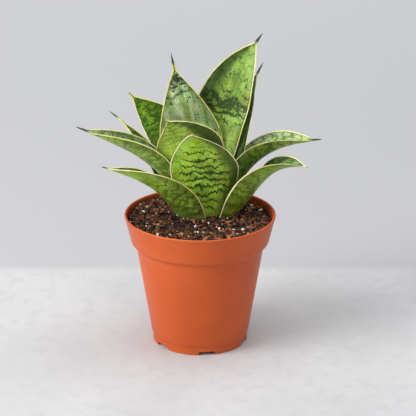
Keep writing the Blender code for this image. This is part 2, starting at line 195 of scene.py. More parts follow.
# How each face is marked: colours, then how strong each marking is. Spacing, cluster and reach are
# centimetres along the leaf: how far apart the bands are, where the bold ones gather, and how far
# they go on from there. Narrow keeps them to the leaf's middle, and Lines brings thin ones in
# elsewhere. A stripe runs along one margin or the other by its sign, and so does the painted shade
# that darkens the side of a leaf which the light misses.
MARKING_DEFAULTS = {
    "Base": MID_GREEN, "Dark": DEEP_GREEN, "Light": LIGHT_GREEN, "Bands": 0.8, "Lines": 0.4,
    "Spacing": 0.75, "Cluster": 5.0, "Reach": 4.0, "Narrow": 0.6, "Blotches": 0.4, "Silver": 0.5,
    "Specks": 0.2, "Edge Shade": 0.4, "Stripe": 0.0, "Painted Shade Side": 0.0, "Pale Foot": 0.0,
}

# The looks of each leaf. rim_width and spike_from are in millimetres: how wide the pale rim is, and
# how far from the tip the dark spear begins.
LOOK_DEFAULTS = {"spike": DARK_SPIKE, "spike_from": 8.0}
LOOKS = {
    "leaf_front_left": {
        "outer": {
            "Base": BROAD_GREEN, "Bands": 0.7, "Cluster": 1.5, "Reach": 3.0, "Blotches": 0.5,
            "Specks": 0.4,
        },
        "inner": {"Base": BLUE_GREEN, "Light": GREY_GREEN, "Silver": 0.8, "Bands": 0.5},
        "rim": (CREAM, YELLOW), "rim_width": 0.9,
    },
    "leaf_front_right": {
        "outer": {
            "Base": BROAD_GREEN, "Bands": 0.6, "Cluster": 2.0, "Reach": 3.0, "Blotches": 0.4,
            "Specks": 0.3,
        },
        "inner": {"Base": BLUE_GREEN, "Light": GREY_GREEN, "Silver": 0.8, "Bands": 0.5},
        "rim": (CREAM, YELLOW), "rim_width": 0.9, "spike": BROWN, "spike_from": 3.5,
    },
    "leaf_far_left": {
        "outer": {"Base": OLIVE_GREEN},
        "inner": {"Base": BLUE_GREEN, "Light": MID_GREEN, "Silver": 0.5},
        "rim": (YELLOW, CREAM), "rim_width": 0.9, "spike_from": 12.0,
    },
    "leaf_front": {
        "outer": {
            "Base": (0.34, 0.55, 0.034), "Bands": 1.0, "Lines": 0.5, "Spacing": 0.62,
            "Cluster": 4.0, "Reach": 2.2, "Narrow": 3.0, "Blotches": 0.4, "Silver": 0.5,
            "Edge Shade": 0.3, "Painted Shade Side": 0.6,
        },
        "inner": {"Base": GREY_GREEN, "Light": SILVER_GREEN, "Silver": 0.7},
        "rim": (PINK_CREAM, CREAM), "rim_width": 0.8, "spike": BROWN, "spike_from": 2.5,
    },
    "leaf_left": {
        "outer": {
            "Base": (0.27, 0.42, 0.035), "Light": LIGHT_GREEN, "Bands": 0.5, "Lines": 0.6,
            "Silver": 0.7,
        },
        "inner": {
            "Base": GREY_GREEN, "Light": SILVER_GREEN, "Dark": BLUE_GREEN, "Silver": 0.8,
            "Specks": 0.8, "Cluster": 8.0, "Blotches": 0.8,
        },
        "rim": (CREAM, YELLOW), "rim_width": 0.9, "spike_from": 14.0,
    },
    "leaf_right": {
        "outer": {"Base": (0.30, 0.46, 0.030), "Light": LIGHT_GREEN, "Bands": 0.6, "Silver": 0.6},
        "inner": {
            "Base": MID_GREEN, "Light": PALE_SILVER, "Dark": BLUE_GREEN, "Silver": 0.8,
            "Specks": 0.4, "Stripe": 0.8,
        },
        "rim": (CREAM, YELLOW), "rim_width": 0.9, "spike_from": 12.0,
    },
    "leaf_back_left": {
        "outer": {"Base": OLIVE_GREEN},
        "inner": {
            "Base": VIVID_GREEN, "Light": MID_GREEN, "Bands": 0.4, "Specks": 0.6, "Blotches": 0.8,
            "Cluster": 9.0,
        },
        "rim": (CREAM, YELLOW), "rim_width": 0.8, "spike_from": 5.0,
    },
    "leaf_back_right": {
        "outer": {"Base": OLIVE_GREEN},
        "inner": {"Base": BLUE_GREEN, "Light": MID_GREEN, "Silver": 0.2, "Bands": 0.4},
        "rim": (YELLOW, CREAM), "rim_width": 0.7, "spike_from": 14.0,
    },
    "leaf_middle": {
        "outer": {
            "Base": (0.32, 0.47, 0.040), "Light": LIGHT_GREEN, "Bands": 0.55, "Lines": 0.7,
            "Spacing": 0.4, "Cluster": 9.5, "Reach": 1.5, "Blotches": 0.2, "Silver": 0.7,
            "Painted Shade Side": 0.8,
        },
        "inner": {"Base": GREY_GREEN, "Light": SILVER_GREEN},
        "rim": (YELLOW, CREAM), "rim_width": 0.9, "spike_from": 3.0,
    },
    "leaf_tall": {
        "outer": {"Base": OLIVE_GREEN},
        "inner": {
            "Base": (0.17, 0.31, 0.028), "Light": LIGHT_GREEN, "Bands": 0.95, "Lines": 0.9,
            "Spacing": 1.0, "Cluster": 8.8, "Reach": 0.85, "Blotches": 0.9, "Silver": 0.6,
            "Stripe": -0.75, "Painted Shade Side": 0.9, "Pale Foot": 0.9, "Narrow": 0.2,
        },
        "rim": (YELLOW, CREAM), "rim_width": 0.9, "spike_from": 13.0,
    },
    "leaf_upper_left": {
        "outer": {"Base": OLIVE_GREEN},
        "inner": {
            "Base": (0.26, 0.39, 0.085), "Light": PALE_SILVER, "Bands": 0.6, "Lines": 0.2,
            "Cluster": 11.3, "Reach": 1.8, "Blotches": 1.0, "Silver": 1.0, "Specks": 1.0,
            "Edge Shade": 0.3,
        },
        "rim": (YELLOW, CREAM), "rim_width": 0.9, "spike_from": 13.0,
    },
    "leaf_young": {
        "outer": {"Base": OLIVE_GREEN, "Light": GREY_GREEN, "Bands": 0.3},
        "inner": {"Base": OLIVE_GREEN, "Light": GREY_GREEN, "Bands": 0.3},
        "rim": (OLIVE_GREEN, OLIVE_GREEN), "rim_width": 0.1,
    },
}

# Stage: metres, and watts for the lights
FLOOR_HALF_SIZE = 6.0
FLOOR_NEAR_END = 0.138
FLOOR_FAR_START = 0.150
LIGHT_TARGET = Vector((0.0, 0.0, 0.12))
LIGHTS = {
    "key_light": {"place": (-1.65, -0.8, 1.2), "size": 1.4, "power": 42.0, "colour": (1.0, 0.99, 0.97)},
    "fill_light": {"place": (-0.4, -1.8, 0.8), "size": 1.2, "power": 1.2, "colour": (1.0, 1.0, 1.0)},
    "top_light": {"place": (0.2, 0.2, 2.2), "size": 2.4, "power": 21.0, "colour": (1.0, 1.0, 1.0)},
}
ROOM_COLOUR = (0.96, 0.98, 1.0)
ROOM_LOW_STRENGTH = 0.08
ROOM_HIGH_STRENGTH = 0.82
CAMERA_LENS = 162.5
CAMERA_SHIFT = 0.019
CAMERA_DISTANCE = 1.487
CAMERA_ELEVATION = 20.6
CAMERA_TARGET = Vector((0.0, 0.0, 0.1109))


def polar(radius, azimuth, height=0.0):
    angle = math.radians(azimuth)
    return Vector((radius * math.cos(angle), radius * math.sin(angle), height))


def direction(lean, azimuth):
    return polar(math.sin(math.radians(lean)), azimuth, math.cos(math.radians(lean)))


def smooth_step(low, high, value):
    share = min(max((value - low) / (high - low), 0.0), 1.0)
    return share * share * (3.0 - 2.0 * share)


def through(values, share):
    """The smooth curve through values spread evenly from 0 to 1, read at share."""
    last = len(values) - 1
    total = 0.0
    for i, value in enumerate(values):
        weight = 1.0
        for j in range(len(values)):
            if j != i:
                weight *= (share * last - j) / (i - j)
        total += weight * value
    return total


def finish_mesh(name, bm, material, sharp=40.0):
    """The piece's object: its mesh smooth shaded, sharp only at edges steeper than an angle."""
    mesh = bpy.data.meshes.new(name)
    bm.to_mesh(mesh)
    bm.free()
    mesh.shade_smooth()
    mesh.set_sharp_from_angle(angle=math.radians(sharp))
    piece = bpy.data.objects.new(name, mesh)
    bpy.context.scene.collection.objects.link(piece)
    mesh.materials.append(material)
    return piece


# ---------------------------------------------------------------- shader helpers


def add_node(tree, kind, **settings):
    node = tree.nodes.new(kind)
    for name, value in settings.items():
        if name in node.inputs:
            node.inputs[name].default_value = value
        else:
            setattr(node, name, value)
    return node


def join(tree, source, target):
    tree.links.new(source, target)


def feed(tree, value, socket):
    """Sets a socket to a number or a colour, or joins an output to it."""
    if isinstance(value, tuple):
        socket.default_value = (*value, 1.0)
    elif isinstance(value, (int, float)):
        socket.default_value = value
    else:
        join(tree, value, socket)


def calculate(tree, operation, first, second=None, third=None, clamp=False):
    node = tree.nodes.new("ShaderNodeMath")
    node.operation = operation
    node.use_clamp = clamp
    for socket, value in zip(node.inputs, (first, second, third)):
        if value is not None:
            feed(tree, value, socket)
    return node.outputs[0]


def times(tree, first, second):
    return calculate(tree, "MULTIPLY", first, second)


def times_plus(tree, first, second, third):
    """First times second, plus third."""
    return calculate(tree, "MULTIPLY_ADD", first, second, third)


def remap(tree, value, low, high, to_low=0.0, to_high=1.0):
    node = tree.nodes.new("ShaderNodeMapRange")
    node.interpolation_type = "SMOOTHSTEP"
    join(tree, value, node.inputs["Value"])
    for name, bound in (("From Min", low), ("From Max", high), ("To Min", to_low), ("To Max", to_high)):
        feed(tree, bound, node.inputs[name])
    return node.outputs["Result"]


def blend_colours(tree, share, first, second, mode="MIX"):
    node = tree.nodes.new("ShaderNodeMix")
    node.data_type = "RGBA"
    node.blend_type = mode
    sockets = (node.inputs["Factor"], node.inputs[6], node.inputs[7])
    for socket, value in zip(sockets, (share, first, second)):
        feed(tree, value, socket)
    return node.outputs[2]


def split(tree, vector):
    """The X, Y and Z of a vector."""
    parts = tree.nodes.new("ShaderNodeSeparateXYZ")
    join(tree, vector, parts.inputs["Vector"])
    return parts.outputs


def stretched(tree, vector, stretch, shift=(0.0, 0.0, 0.0)):
    mapping = tree.nodes.new("ShaderNodeMapping")
    join(tree, vector, mapping.inputs["Vector"])
    mapping.inputs["Scale"].default_value = stretch
    mapping.inputs["Location"].default_value = shift
    return mapping.outputs["Vector"]


def stretched_noise(tree, vector, stretch, scale, detail=2.0, shift=(0.0, 0.0, 0.0)):
    """Noise on a vector that is stretched first, so that its grains are long one way."""
    grain = add_node(tree, "ShaderNodeTexNoise", Scale=scale, Detail=detail)
    join(tree, stretched(tree, vector, stretch, shift), grain.inputs["Vector"])
    return grain.outputs["Fac"]


def new_group(name, values, outputs):
    """A node group with an input for each value, a colour or a number, and the outputs named."""
    group = bpy.data.node_groups.new(name, "ShaderNodeTree")
    for socket_name, value in values.items():
        is_colour = isinstance(value, tuple)
        kind = "NodeSocketColor" if is_colour else "NodeSocketFloat"
        socket = group.interface.new_socket(socket_name, in_out="INPUT", socket_type=kind)
        socket.default_value = (*value, 1.0) if is_colour else value
    for socket_name, kind in outputs.items():
        group.interface.new_socket(socket_name, in_out="OUTPUT", socket_type=kind)
    return group, group.nodes.new("NodeGroupInput"), group.nodes.new("NodeGroupOutput")


def place_group(tree, group, values):
    node = tree.nodes.new("ShaderNodeGroup")
    node.node_tree = group
    for name, value in values.items():
        feed(tree, value, node.inputs[name])
    return node


def new_material(name, roughness, specular=0.5):
    material = bpy.data.materials.new(name)
    material.use_nodes = True
    shader = material.node_tree.nodes["Principled BSDF"]
    shader.inputs["Roughness"].default_value = roughness
    shader.inputs["Specular IOR Level"].default_value = specular
    return material, material.node_tree, shader


def add_bump(tree, shader, height, strength, distance):
    bump = add_node(tree, "ShaderNodeBump", Strength=strength, Distance=distance)
    join(tree, height, bump.inputs["Height"])
    join(tree, bump.outputs["Normal"], shader.inputs["Normal"])


def object_vector(tree):
    return tree.nodes.new("ShaderNodeTexCoord").outputs["Object"]


# ---------------------------------------------------------------- leaf finish


def marking_noises(group, vector):
    """The noises that the markings share, each with its own grain along and across the leaf."""
    stretches = {
        "fibres": ((9.0, 0.35, 1.0), 2.2, 3.0),
        "streaks": ((2.2, 0.30, 1.0), 1.3, 4.0, (3.0, 7.0, 0.0)),
        "clouds": ((0.7, 0.7, 1.0), 1.0, 2.0, (9.0, 2.0, 0.0)),
        "wander": ((0.9, 0.5, 1.0), 1.2, 1.0, (1.0, 5.0, 0.0)),
        "jags": ((4.0, 1.2, 1.0), 1.5, 4.0, (4.0, 4.0, 0.0)),
        "mottle": ((1.7, 2.9, 1.0), 1.3, 4.0, (6.0, 1.0, 0.0)),
        "flecks": ((5.0, 3.0, 1.0), 3.0, 4.0, (2.0, 8.0, 0.0)),
    }
    return {name: stretched_noise(group, vector, *values) for name, values in stretches.items()}


def cluster_masks(group, given, along, side):
    """How far along a place is from the bold bands, in reaches, and how near to their middle."""
    from_cluster = calculate(group, "SUBTRACT", along, given["Cluster"])
    share = calculate(group, "DIVIDE", from_cluster, given["Reach"])
    squared = times(group, share, share)
    sideways = times(group, side, side)
    squared = times_plus(group, sideways, given["Narrow"], squared)
    near = calculate(group, "POWER", 2.718, times(group, squared, -1.0))
    return share, near


def band_mask(group, given, along, near_cluster, noises):
    """Jagged cross bands, bold in the cluster and thin in patches elsewhere."""
    patches = calculate(group, "SUBTRACT", near_cluster, 0.62)
    patches = times_plus(group, noises["clouds"], 0.9, patches)
    patches = times_plus(group, given["Lines"], 0.60, patches)
    cover = remap(group, patches, 0.05, 0.40)

    count = calculate(group, "DIVIDE", along, given["Spacing"])
    bend = calculate(group, "SUBTRACT", noises["wander"], 0.5)
    bent = times_plus(group, bend, 2.2, count)
    jag = calculate(group, "SUBTRACT", noises["jags"], 0.5)
    jagged = times_plus(group, jag, 1.1, bent)
    wave = calculate(group, "SINE", times(group, jagged, 2.0 * math.pi))
    boldness = times_plus(group, near_cluster, -0.75, 0.88)
    lines = remap(group, wave, boldness, calculate(group, "ADD", boldness, 0.14))
    bands = times(group, lines, cover)
    return calculate(group, "MULTIPLY", bands, given["Bands"], clamp=True)


def blotch_mask(group, given, near_cluster, pale_foot, noises):
    """Dark blotches, thickest in the cluster and none where the foot of the leaf is pale."""
    level = times_plus(group, near_cluster, -0.23, 0.68)
    blotches = remap(group, noises["mottle"], level, calculate(group, "ADD", level, 0.045))
    blotches = times(group, blotches, given["Blotches"])
    return times(group, blotches, calculate(group, "SUBTRACT", 1.0, pale_foot))


def speck_mask(group, given, vector, noises):
    """Small dark dots, one in each of a few of the cells that cover the leaf."""
    cells = add_node(group, "ShaderNodeTexVoronoi", Scale=1.0)
    join(group, stretched(group, vector, (3.6, 2.8, 1.0)), cells.inputs["Vector"])
    near_cell = times_plus(group, noises["fibres"], 0.25, cells.outputs["Distance"])
    dots = remap(group, near_cell, 0.36, 0.24)
    chosen = group.nodes.new("ShaderNodeSeparateColor")
    join(group, cells.outputs["Color"], chosen.inputs["Color"])
    chance = times(group, given["Specks"], 0.5)
    rare = calculate(group, "LESS_THAN", chosen.outputs["Red"], chance)
    return times(group, dots, rare)


def shade_mask(group, given, side, noises):
    """Darker green towards both margins, and painted shade over the side of the leaf that the light misses.
    """
    edge = calculate(group, "ABSOLUTE", side)
    edge = times_plus(group, noises["clouds"], 0.4, edge)
    edges = times(group, remap(group, edge, 0.75, 1.15), given["Edge Shade"])
    # Painted shade: the sign picks one side of the leaf, and that side is darkened where less light falls.
    painted_shade_side = times(group, side, given["Painted Shade Side"])
    painted_shade_side = times_plus(group, noises["streaks"], 0.45, painted_shade_side)
    return calculate(group, "MAXIMUM", edges, remap(group, painted_shade_side, 0.40, 0.80, 0.0, 0.78))


def light_mask(group, given, side, pale_foot, noises):
    """Silver streaks, a pale stripe by one margin, and a pale foot."""
    stripe = times(group, side, given["Stripe"])
    stripe = times_plus(group, noises["streaks"], 0.30, stripe)
    stripe = times(group, remap(group, stripe, 0.62, 0.80), 0.85)
    silver = times_plus(group, noises["fibres"], 0.35, noises["streaks"])
    silver = times(group, remap(group, silver, 0.52, 0.86), given["Silver"])
    return calculate(group, "MAXIMUM", calculate(group, "MAXIMUM", silver, stripe), pale_foot)


def uneven_tint(group, noises):
    """A tint that varies the green from fibre to fibre, and a little towards yellow in patches."""
    fibres = remap(group, noises["fibres"], 0.3, 0.7, 0.82, 1.14)
    flecks = remap(group, noises["flecks"], 0.3, 0.7, 0.74, 1.26)
    clouds = remap(group, noises["clouds"], 0.3, 0.7, 0.72, 1.25)
    shade = times(group, times(group, fibres, flecks), clouds)
    patches = remap(group, noises["wander"], 0.3, 0.7, 0.90, 1.08)
    tint = group.nodes.new("ShaderNodeCombineColor")
    amounts = (times(group, shade, patches), shade, shade)
    for socket, amount in zip(tint.inputs, amounts):
        join(group, amount, socket)
    return tint.outputs["Color"]


def leaf_marking_group():
    """The markings on one face of a leaf: fibres, silver streaks, jagged dark bands and specks.

    leaf_place is centimetres across, centimetres along, and -1 to 1 from margin to margin.
    """
    outputs = {"Color": "NodeSocketColor", "Height": "NodeSocketFloat"}
    group, inputs, made = new_group("leaf_markings", {**MARKING_DEFAULTS, "Seed": 0.0}, outputs)
    given = inputs.outputs
    place = add_node(group, "ShaderNodeAttribute", attribute_name="leaf_place")
    across, along, side = split(group, place.outputs["Vector"])
    flat = group.nodes.new("ShaderNodeCombineXYZ")
    for name, source in (("X", across), ("Y", along), ("Z", given["Seed"])):
        join(group, source, flat.inputs[name])
    vector = flat.outputs["Vector"]
    noises = marking_noises(group, vector)

    share, near_cluster = cluster_masks(group, given, along, side)
    pale_foot = times(group, remap(group, share, -0.5, -1.2), given["Pale Foot"])
    bands = band_mask(group, given, along, near_cluster, noises)
    blotches = blotch_mask(group, given, near_cluster, pale_foot, noises)
    specks = speck_mask(group, given, vector, noises)
    dark = calculate(group, "MAXIMUM", bands, calculate(group, "MAXIMUM", blotches, specks))
    dark = times(group, dark, remap(group, noises["fibres"], 0.25, 0.6, 0.72, 0.96))

    light = light_mask(group, given, side, pale_foot, noises)
    colour = blend_colours(group, light, given["Base"], given["Light"])
    colour = blend_colours(group, 1.0, colour, uneven_tint(group, noises), "MULTIPLY")
    shade = shade_mask(group, given, side, noises)
    colour = blend_colours(group, shade, colour, given["Dark"])
    colour = blend_colours(group, dark, colour, given["Dark"])
    join(group, colour, made.inputs["Color"])
    height = times_plus(group, dark, -0.25, noises["fibres"])
    join(group, height, made.inputs["Height"])
    return group


def leaf_material(name, look, markings, seed):
    """A waxy skin: marked on both faces, with a pale rim, a dark line inside it and a dark spear."""
    material, tree, shader = new_material(name, 0.42, 0.30)
    outer = place_group(tree, markings, {**MARKING_DEFAULTS, **look["outer"], "Seed": seed})
    inner = place_group(tree, markings, {**MARKING_DEFAULTS, **look["inner"], "Seed": seed + 3.3})
    side = add_node(tree, "ShaderNodeAttribute", attribute_name="outer_face")
    colour = blend_colours(tree, side.outputs["Fac"], inner.outputs["Color"], outer.outputs["Color"])

    to_margin = add_node(tree, "ShaderNodeAttribute", attribute_name="to_margin")
    vector = object_vector(tree)
    waver = stretched_noise(tree, vector, EVEN_GRAIN, 160.0, 2.0)
    uneven = times_plus(tree, waver, 0.9, to_margin.outputs["Fac"])
    width = look["rim_width"] + 0.45
    rim_line = remap(tree, uneven, width + 0.30, width + 1.1, RIM_LINE_DARKNESS, 0.0)
    colour = blend_colours(tree, rim_line, colour, DEEP_GREEN)
    rim = remap(tree, uneven, width + 0.28, width - 0.22)
    patchy = stretched_noise(tree, vector, EVEN_GRAIN, 70.0, 3.0)
    rim_colour = blend_colours(tree, remap(tree, patchy, 0.35, 0.65), *look["rim"])
    colour = blend_colours(tree, rim, colour, rim_colour)

    to_tip = add_node(tree, "ShaderNodeAttribute", attribute_name="to_tip")
    spike_from = look["spike_from"]
    spike = remap(tree, to_tip.outputs["Fac"], spike_from, spike_from - SPIKE_FADE)
    colour = blend_colours(tree, spike, colour, look["spike"])
    join(tree, colour, shader.inputs["Base Color"])

    height = blend_colours(tree, side.outputs["Fac"], inner.outputs["Height"], outer.outputs["Height"])
    add_bump(tree, shader, height, 0.45, 0.0006)
    gloss = remap(tree, patchy, 0.3, 0.7, 0.36, 0.50)
    join(tree, gloss, shader.inputs["Roughness"])
    return material


# ---------------------------------------------------------------- leaves


def midrib(leaf):
    base = CROWN + polar(leaf["ring"], leaf["turn"])
    tip = Vector(leaf["tip"])
    rise = direction(*leaf["rise"][:2]) * leaf["rise"][2]
    fall = direction(*leaf["fall"][:2]) * leaf["fall"][2]
    points = interpolate_bezier(base, base + rise, tip - fall, tip, 400)
    lengths = [0.0]
    for before, after in zip(points, points[1:]):
        lengths.append(lengths[-1] + (after - before).length)
    return points, lengths


def point_and_heading(points, lengths, share):
    target = share * lengths[-1]
    i = 1
    while i < len(points) - 1 and lengths[i] < target:
        i += 1
    part = (target - lengths[i - 1]) / (lengths[i] - lengths[i - 1])
    before = points[max(i - 3, 0)]
    after = points[min(i + 2, len(points) - 1)]
    return points[i - 1].lerp(points[i], part), (after - before).normalized()


def half_width(leaf, share, blade_end):
    base = 2.0 * leaf["ring"] * math.radians(leaf["wrap"])
    across = min(share / blade_end, 1.0)
    if across < leaf["peak"]:
        swell = math.sin(math.pi / 2.0 * across / leaf["peak"]) ** leaf["swell"]
        width = base + (leaf["width"] - base) * swell
    else:
        fall = (across - leaf["peak"]) / (1.0 - leaf["peak"])
        width = leaf["width"] * (1.0 - fall ** leaf["taper"])
    spike = SPIKE_RADIUS * min((1.0 - share) / (1.0 - blade_end), 1.0)
    return max(width / 2.0, spike)


def half_thickness(leaf, share, blade_end):
    blade = leaf["thickness"] + (LEAF_TIP_THICKNESS - leaf["thickness"]) * share
    spike = SPIKE_RADIUS * min((1.0 - share) / (1.0 - blade_end), 1.0)
    return min(blade / 2.0, spike)


def leaf_frame(leaf, points, lengths, share):
    point, heading = point_and_heading(points, lengths, share)
    face = math.radians(through((leaf["turn"], *leaf["face"]), share))
    across = Vector((-math.sin(face), math.cos(face), 0.0))
    across = (across - heading * across.dot(heading)).normalized()
    inner = heading.cross(across)
    roll = math.radians(through(leaf["roll"], share))
    turned_across = across * math.cos(roll) + inner * math.sin(roll)
    turned_inner = inner * math.cos(roll) - across * math.sin(roll)
    return point, turned_across, turned_inner


def blade_wave(half, side, along, seed):
    """How far the blade stands off its bow above the soil: soft flutes along it, and wavy margins."""
    margin = side * side * min(half / 12.0, 1.0)
    wavy = 0.30 * margin * math.sin(along / 6.3 + seed + 1.4 * side)
    flutes = 0.10 * min(half / 10.0, 1.0) * math.sin(half * side * 1.15 + seed)
    lumps = 0.35 * min(half / 14.0, 1.0) * noise.noise(Vector((half * side / 14.0, along / 18.0, seed)))
    return (wavy + flutes + lumps) * smooth_step(2.0, 12.0, along)


def leaf_piece(name, leaf, material, seed):
    """The leaf as a rolled grid: columns run around its section and rows run up to its tip."""
    points, lengths = midrib(leaf)
    full = lengths[-1]
    blade_end = 1.0 - leaf["spike"] / full
    shares = [1.0 - (1.0 - i / LEAF_ROWS) ** 1.25 for i in range(LEAF_ROWS + 1)]
    frames = [leaf_frame(leaf, points, lengths, share) for share in shares]
    bm = bmesh.new()
    bmesh.ops.create_grid(bm, x_segments=SECTION_POINTS, y_segments=LEAF_ROWS, size=0.5)
    place = bm.verts.layers.float_vector.new("leaf_place")
    outer_face = bm.verts.layers.float.new("outer_face")
    to_margin = bm.verts.layers.float.new("to_margin")
    to_tip = bm.verts.layers.float.new("to_tip")
    for vert in bm.verts:
        around = 2.0 * math.pi * (vert.co.x + 0.5)
        row = round((vert.co.y + 0.5) * LEAF_ROWS)
        share = shares[row]
        middle, across, inner = frames[row]
        half = half_width(leaf, share, blade_end)
        cup = math.radians(through((leaf["wrap"], *leaf["cup"]), share))
        bow_radius = half / cup
        side = math.cos(around)
        stand = half_thickness(leaf, share, blade_end) * math.sin(around)
        radius = bow_radius - stand - blade_wave(half, side, share * full, seed)
        bow = cup * side
        sideways = across * (radius * math.sin(bow))
        vert.co = (middle + sideways + inner * (bow_radius - radius * math.cos(bow))) * MM
        vert[place] = Vector((half * side / 10.0, share * full / 10.0, side))
        vert[outer_face] = smooth_step(-0.15, 0.15, -math.sin(around))
        vert[to_margin] = half * (1.0 - abs(side))
        vert[to_tip] = (1.0 - share) * full
    bmesh.ops.remove_doubles(bm, verts=bm.verts, dist=0.000001)
    bmesh.ops.holes_fill(bm, edges=[edge for edge in bm.edges if edge.is_boundary], sides=0)
    bmesh.ops.recalc_face_normals(bm, faces=bm.faces)
    piece = finish_mesh(name + "_blade", bm, material, 60.0)
    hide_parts(name)
    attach(piece, "root")


def make_leaves():
    markings = leaf_marking_group()
    for i, (name, shape) in enumerate(LEAVES.items()):
        seed = 1.0 + 2.37 * i
        look = {**LOOK_DEFAULTS, **LOOKS[name]}
        material = leaf_material(name + "_skin", look, markings, seed)
        leaf_piece(name, {**LEAF_DEFAULTS, **shape}, material, seed)


# ---------------------------------------------------------------- pot


def wall_radius(height):
    collar_foot = POT_HEIGHT - COLLAR_HEIGHT
    step_foot = collar_foot - 4.0
    if height <= step_foot:
        share = (height - FOOT_HEIGHT) / (step_foot - FOOT_HEIGHT)
        return BODY_FOOT_RADIUS + share * (BODY_TOP_RADIUS - BODY_FOOT_RADIUS)
    if height <= collar_foot:
        share = (height - step_foot) / (collar_foot - step_foot)
        return BODY_TOP_RADIUS + share * (COLLAR_FOOT_RADIUS - BODY_TOP_RADIUS)
    share = (height - collar_foot) / COLLAR_HEIGHT
    return COLLAR_FOOT_RADIUS + share * (RIM_RADIUS - COLLAR_FOOT_RADIUS)


def pot_profile():
    """Radius and height from the floor's middle up the inside, over the lip and down the outside."""
    collar_foot = POT_HEIGHT - COLLAR_HEIGHT
    step_foot = collar_foot - 4.0
    inside = [
        (0.0, FLOOR_TOP),
        (BODY_FOOT_RADIUS - WALL - 2.0, FLOOR_TOP),
        (BODY_FOOT_RADIUS - WALL - 0.5, FLOOR_TOP + 0.6),
        (wall_radius(FLOOR_TOP + 2.0) - WALL, FLOOR_TOP + 2.0),
        (BODY_TOP_RADIUS - WALL, step_foot + 0.8),
        (COLLAR_FOOT_RADIUS - WALL, collar_foot + 0.8),
        (wall_radius(POT_HEIGHT - 2.4) - WALL, POT_HEIGHT - 2.4),
        (RIM_RADIUS - WALL - 0.5, POT_HEIGHT - 0.9),
        (RIM_RADIUS - WALL - 0.2, POT_HEIGHT - 0.35),
    ]
    lip = [
        (RIM_RADIUS - WALL + 0.25, POT_HEIGHT - 0.05),
        (RIM_RADIUS - 0.75, POT_HEIGHT),
        (RIM_RADIUS - 0.3, POT_HEIGHT - 0.12),
        (RIM_RADIUS - 0.05, POT_HEIGHT - 0.45),
        (RIM_RADIUS, POT_HEIGHT - 0.9),
        (RIM_RADIUS - 0.15, POT_HEIGHT - 1.6),
        (wall_radius(POT_HEIGHT - 2.4), POT_HEIGHT - 2.4),
    ]
    step = [
        (COLLAR_FOOT_RADIUS + 0.35, collar_foot + 1.4),
        (COLLAR_FOOT_RADIUS + 0.12, collar_foot + 0.6),
        (COLLAR_FOOT_RADIUS - 0.25, collar_foot - 0.05),
        (COLLAR_FOOT_RADIUS - 0.9, collar_foot - 0.7),
        (BODY_TOP_RADIUS + 0.9, step_foot + 1.15),
        (BODY_TOP_RADIUS + 0.25, step_foot + 0.5),
        (BODY_TOP_RADIUS - 0.02, step_foot - 0.3),
        (BODY_TOP_RADIUS - 0.2, step_foot - 1.4),
    ]
    foot = [
        (BODY_FOOT_RADIUS + 0.05, FOOT_HEIGHT + 0.3),
        (BODY_FOOT_RADIUS - 0.15, FOOT_HEIGHT - 0.15),
        (FOOT_RADIUS + 0.45, FOOT_HEIGHT - 0.45),
        (FOOT_RADIUS + 0.2, FOOT_HEIGHT - 0.8),
        (FOOT_RADIUS, 1.0),
        (FOOT_RADIUS - 0.15, 0.3),
        (FOOT_RADIUS - 0.6, 0.0),
        (FOOT_RADIUS - FOOT_RING_WIDTH, 0.0),
        (FOOT_RADIUS - FOOT_RING_WIDTH - 0.3, FLOOR_UNDERSIDE - 0.5),
        (FOOT_RADIUS - FOOT_RING_WIDTH - 0.9, FLOOR_UNDERSIDE),
        (0.0, FLOOR_UNDERSIDE),
    ]
    return inside + lip + step + foot


def block_cutter(size, place, azimuth):
    bm = bmesh.new()
    bmesh.ops.create_cube(bm, size=1.0)
    bmesh.ops.scale(bm, vec=size * MM, verts=bm.verts)
    bmesh.ops.bevel(
        bm, geom=[edge for edge in bm.edges], offset=0.9 * MM, offset_type="OFFSET",
        segments=3, profile=0.5, affect="EDGES", material=-1,
    )
    bmesh.ops.rotate(bm, verts=bm.verts, matrix=Matrix.Rotation(math.radians(azimuth), 3, "Z"))
    bmesh.ops.translate(bm, verts=bm.verts, vec=place * MM)
    return bm


def drain_cutter(place):
    bm = bmesh.new()
    bmesh.ops.create_cone(
        bm, cap_ends=True, segments=40, radius1=DRAIN_RADIUS * MM, radius2=DRAIN_RADIUS * MM,
        depth=(FLOOR_TOP - FLOOR_UNDERSIDE + 2.0) * MM,
    )
    middle = Vector((0.0, 0.0, (FLOOR_TOP + FLOOR_UNDERSIDE) / 2.0))
    bmesh.ops.translate(bm, verts=bm.verts, vec=(place + middle) * MM)
    return bm


def cut_out(piece, cutters):
    """Cut the piece by each cutter's mesh, and keep the result as the piece's own mesh."""
    tools = bpy.data.collections.new("pot_cutters")
    bpy.context.scene.collection.children.link(tools)
    for i, bm in enumerate(cutters):
        mesh = bpy.data.meshes.new(f"cutter_{i}")
        bm.to_mesh(mesh)
        bm.free()
        tools.objects.link(bpy.data.objects.new(f"cutter_{i}", mesh))
    cut = piece.modifiers.new("cut", "BOOLEAN")
    cut.operation = "DIFFERENCE"
    cut.solver = "EXACT"
    cut.operand_type = "COLLECTION"
    cut.collection = tools
    depsgraph = bpy.context.evaluated_depsgraph_get()
    finished = bpy.data.meshes.new_from_object(piece.evaluated_get(depsgraph))
    piece.modifiers.clear()
    piece.data = finished
    for tool in list(tools.objects):
        bpy.data.objects.remove(tool)
    bpy.data.collections.remove(tools)


